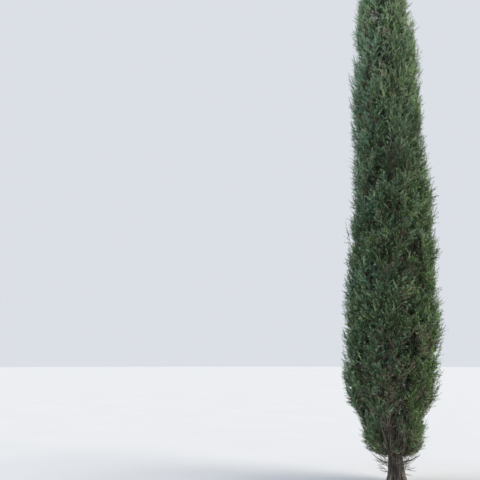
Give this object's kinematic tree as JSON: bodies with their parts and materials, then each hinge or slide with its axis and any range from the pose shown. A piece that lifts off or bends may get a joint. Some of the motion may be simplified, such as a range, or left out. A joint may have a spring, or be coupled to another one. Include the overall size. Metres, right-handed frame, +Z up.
{
  "type": "columnar juniper",
  "caption": "Tall narrow evergreen tree: a leaning trunk with a root flare, steep boughs and upright masses of scale-leaved sprays up to a wispy pointed top.",
  "frame": {"origin": "centre of the flat cut under the trunk, at ground level", "axes": "+Z straight up, -Y towards the side the picture shows, +X to the right of that view, which is the way the trunk leans"},
  "size_m": [1.3253, 1.3186, 8],
  "materials": {
    "bark": "fibrous, rough",
    "foliage": "matt"
  },
  "bodies": {
    "root": {"trunk": "bark", "dead_twig_0": "bark", "dead_twig_1": "bark", "dead_twig_2": "bark", "foliage_0_0": "foliage", "foliage_0_1": "foliage", "foliage_0_2": "foliage", "foliage_0_3": "foliage", "foliage_0_4": "foliage", "bough_1_0": "bark", "foliage_1_0": "foliage", "bough_1_1": "bark", "foliage_1_1": "foliage", "bough_1_2": "bark", "foliage_1_2": "foliage", "bough_1_3": "bark", "foliage_1_3": "foliage", "bough_1_4": "bark", "foliage_1_4": "foliage", "bough_2_0": "bark", "foliage_2_0": "foliage", "bough_2_1": "bark", "foliage_2_1": "foliage", "bough_2_2": "bark", "foliage_2_2": "foliage", "bough_2_3": "bark", "foliage_2_3": "foliage", "bough_2_4": "bark", "foliage_2_4": "foliage", "bough_3_0": "bark", "foliage_3_0": "foliage", "bough_3_1": "bark", "foliage_3_1": "foliage", "bough_3_2": "bark", "foliage_3_2": "foliage", "bough_3_3": "bark", "foliage_3_3": "foliage", "bough_3_4": "bark", "foliage_3_4": "foliage", "bough_4_0": "bark", "foliage_4_0": "foliage", "bough_4_1": "bark", "foliage_4_1": "foliage", "bough_4_2": "bark", "foliage_4_2": "foliage", "bough_4_3": "bark", "foliage_4_3": "foliage", "bough_4_4": "bark", "foliage_4_4": "foliage", "foliage_5_0": "foliage", "foliage_5_1": "foliage", "foliage_5_2": "foliage", "foliage_5_3": "foliage", "foliage_5_4": "foliage", "foliage_6_0": "foliage", "foliage_6_1": "foliage", "foliage_6_2": "foliage", "foliage_6_3": "foliage", "foliage_6_4": "foliage", "foliage_spire": "foliage"}
  },
  "joints": []
}
